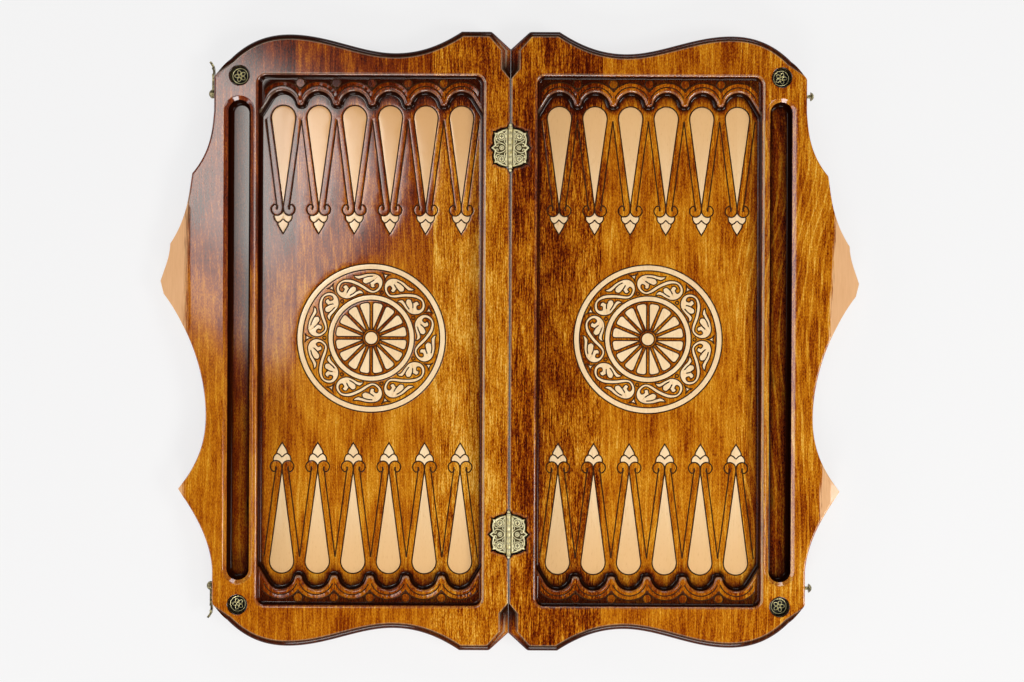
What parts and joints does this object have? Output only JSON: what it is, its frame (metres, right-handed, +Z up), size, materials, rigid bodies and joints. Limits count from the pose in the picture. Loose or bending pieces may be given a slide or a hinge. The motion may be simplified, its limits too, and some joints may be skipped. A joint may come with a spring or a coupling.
{
  "type": "backgammon board",
  "caption": "Folding wooden backgammon board with carved recessed fields, side troughs, brass hinges and hook latches",
  "frame": {"origin": "middle of the opened board's footprint, on the surface that it lies on", "axes": "+X across the two halves, from the half with the hooks to the half with the catches; +Y along the hinge line, towards the end of the large side tips; +Z up, out of the playing fields"},
  "size_m": [0.6786, 0.6, 0.0323],
  "materials": {
    "stained_wood": "glossy lacquer",
    "pale_brass": "bright antique brass",
    "dark_brass": "dark antique brass"
  },
  "bodies": {
    "right_half": {"right_hinge_stave": "stained_wood", "right_middle_stave": "stained_wood", "right_outer_stave": "stained_wood", "upper_hinge_right_leaf": "pale_brass", "upper_hinge_pin": "pale_brass", "upper_hinge_right_screws": "pale_brass", "lower_hinge_right_leaf": "pale_brass", "lower_hinge_pin": "pale_brass", "lower_hinge_right_screws": "pale_brass", "upper_catch": "dark_brass", "lower_catch": "dark_brass", "upper_right_button": "dark_brass", "lower_right_button": "dark_brass"},
    "left_half": {"left_hinge_stave": "stained_wood", "left_middle_stave": "stained_wood", "left_outer_stave": "stained_wood", "upper_hinge_left_leaf": "pale_brass", "upper_hinge_left_screws": "pale_brass", "lower_hinge_left_leaf": "pale_brass", "lower_hinge_left_screws": "pale_brass", "upper_hook_pivot": "dark_brass", "upper_hook_washer": "dark_brass", "upper_left_button": "dark_brass", "lower_hook_pivot": "dark_brass", "lower_hook_washer": "dark_brass", "lower_left_button": "dark_brass"},
    "upper_hook": {"upper_hook": "dark_brass"},
    "lower_hook": {"lower_hook": "dark_brass"}
  },
  "joints": [
    {"name": "fold", "type": "hinge", "parent": "right_half", "child": "left_half", "pos_m": [0, 0, 0.0302], "axis": [0, 1, 0], "range_deg": [0, 180]},
    {"name": "upper_hook_swing", "type": "hinge", "parent": "left_half", "child": "upper_hook", "pos_m": [-0.2889, 0.239, 0.0195], "axis": [1, 0, 0], "range_deg": [-20, 90]},
    {"name": "lower_hook_swing", "type": "hinge", "parent": "left_half", "child": "lower_hook", "pos_m": [-0.2889, -0.239, 0.0195], "axis": [-1, 0, 0], "range_deg": [-20, 90]}
  ]
}
